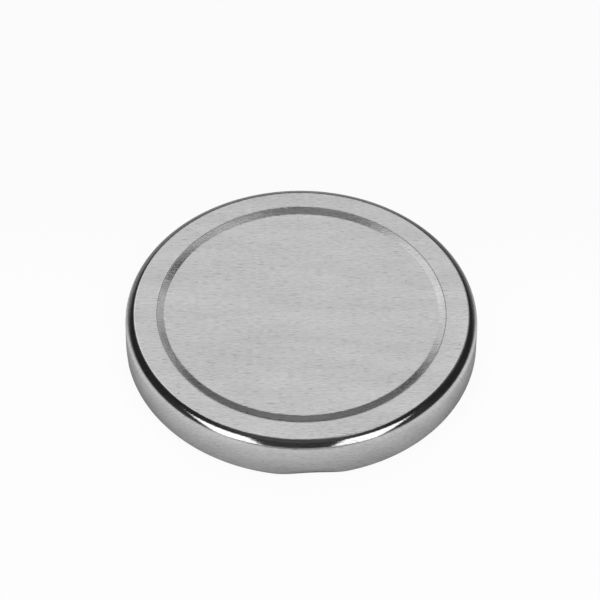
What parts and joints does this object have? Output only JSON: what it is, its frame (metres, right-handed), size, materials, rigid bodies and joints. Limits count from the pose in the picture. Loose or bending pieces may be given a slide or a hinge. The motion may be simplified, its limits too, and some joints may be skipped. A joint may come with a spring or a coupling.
{
  "type": "twist-off jar lid",
  "caption": "Shallow round tinplate jar lid with a recessed centre panel, a rounded shoulder, a rolled edge with inward lugs, and a sealing ring inside.",
  "frame": {"origin": "on the lid's axis, in the plane that the rolled edge stands on", "axes": "+Z along the lid's axis, up through the centre panel; +X and +Y through the middles of two neighbouring lugs"},
  "size_m": [0.0734, 0.0734, 0.0093],
  "materials": {
    "tinplate": "bright stone-finish tinplate with a fine straight rolling grain",
    "sealing_compound": "soft satin sealing compound, off-white"
  },
  "bodies": {
    "root": {"lid_shell": "tinplate", "sealing_ring": "sealing_compound"}
  },
  "joints": []
}
